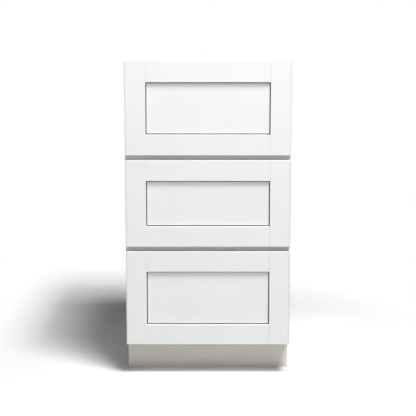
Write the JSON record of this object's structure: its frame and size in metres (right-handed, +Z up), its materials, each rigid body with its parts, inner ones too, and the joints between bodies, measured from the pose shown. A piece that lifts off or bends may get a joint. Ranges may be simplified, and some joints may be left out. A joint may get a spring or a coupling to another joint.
{
  "type": "vanity drawer base cabinet",
  "caption": "White vanity drawer base cabinet with recessed-panel fronts, face frame, dovetailed drawers and toe kick.",
  "frame": {"origin": "on the floor, under the middle of the whole cabinet, drawer fronts included", "axes": "+Z up, +Y from the fronts to the wall, +X to the right of someone who faces the drawers"},
  "size_m": [0.4572, 0.554, 0.8763],
  "materials": {
    "white_paint": "satin white paint on wood",
    "white_faced_plywood": "plywood, painted white outside and clear-coated inside",
    "plywood": "clear-coated birch plywood",
    "drawer_maple": "clear-coated maple",
    "toe_kick_finish": "matt light warm grey",
    "zinc_steel": "zinc plated",
    "grey_plastic": "moulded, matt",
    "clear_rubber": "soft clear domes"
  },
  "bodies": {
    "cabinet": {"back_panel": "plywood", "bottom_cabinet_channels": "zinc_steel", "corner_braces": "grey_plastic", "deck_panel": "plywood", "frame_bottom_rail": "white_paint", "frame_left_stile": "white_paint", "frame_lower_rail": "white_paint", "frame_right_stile": "white_paint", "frame_top_rail": "white_paint", "frame_upper_rail": "white_paint", "left_side_panel": "white_faced_plywood", "lower_hanging_rail": "plywood", "middle_cabinet_channels": "zinc_steel", "right_side_panel": "white_faced_plywood", "slide_rear_brackets": "grey_plastic", "toe_kick_board": "toe_kick_finish", "top_cabinet_channels": "zinc_steel", "upper_hanging_rail": "plywood"},
    "bottom_drawer": {"bottom_box_back": "drawer_maple", "bottom_box_bottom": "drawer_maple", "bottom_box_front": "drawer_maple", "bottom_box_left_side": "drawer_maple", "bottom_box_right_side": "drawer_maple", "bottom_bumpers": "clear_rubber", "bottom_front_left_stile": "white_paint", "bottom_front_lower_rail": "white_paint", "bottom_front_panel": "white_paint", "bottom_front_right_stile": "white_paint", "bottom_front_upper_rail": "white_paint", "bottom_locking_clips": "grey_plastic", "bottom_runners": "zinc_steel"},
    "bottom_telescope": {"bottom_telescopes": "zinc_steel"},
    "middle_drawer": {"middle_box_back": "drawer_maple", "middle_box_bottom": "drawer_maple", "middle_box_front": "drawer_maple", "middle_box_left_side": "drawer_maple", "middle_box_right_side": "drawer_maple", "middle_bumpers": "clear_rubber", "middle_front_left_stile": "white_paint", "middle_front_lower_rail": "white_paint", "middle_front_panel": "white_paint", "middle_front_right_stile": "white_paint", "middle_front_upper_rail": "white_paint", "middle_locking_clips": "grey_plastic", "middle_runners": "zinc_steel"},
    "middle_telescope": {"middle_telescopes": "zinc_steel"},
    "top_drawer": {"top_box_back": "drawer_maple", "top_box_bottom": "drawer_maple", "top_box_front": "drawer_maple", "top_box_left_side": "drawer_maple", "top_box_right_side": "drawer_maple", "top_bumpers": "clear_rubber", "top_front_left_stile": "white_paint", "top_front_lower_rail": "white_paint", "top_front_panel": "white_paint", "top_front_right_stile": "white_paint", "top_front_upper_rail": "white_paint", "top_locking_clips": "grey_plastic", "top_runners": "zinc_steel"},
    "top_telescope": {"top_telescopes": "zinc_steel"}
  },
  "joints": [
    {"name": "top_drawer_slide", "type": "slide", "parent": "cabinet", "child": "top_drawer", "axis": [0, -1, 0], "range_m": [0, 0.432]},
    {"name": "top_telescope_slide", "type": "slide", "parent": "cabinet", "child": "top_telescope", "axis": [0, -1, 0], "range_m": [0, 0.216]},
    {"name": "middle_drawer_slide", "type": "slide", "parent": "cabinet", "child": "middle_drawer", "axis": [0, -1, 0], "range_m": [0, 0.432]},
    {"name": "middle_telescope_slide", "type": "slide", "parent": "cabinet", "child": "middle_telescope", "axis": [0, -1, 0], "range_m": [0, 0.216]},
    {"name": "bottom_drawer_slide", "type": "slide", "parent": "cabinet", "child": "bottom_drawer", "axis": [0, -1, 0], "range_m": [0, 0.432]},
    {"name": "bottom_telescope_slide", "type": "slide", "parent": "cabinet", "child": "bottom_telescope", "axis": [0, -1, 0], "range_m": [0, 0.216]}
  ],
  "couplings": [
    {"joint": "top_telescope_slide", "follows": "top_drawer_slide", "ratio": 0.5},
    {"joint": "middle_telescope_slide", "follows": "middle_drawer_slide", "ratio": 0.5},
    {"joint": "bottom_telescope_slide", "follows": "bottom_drawer_slide", "ratio": 0.5}
  ]
}
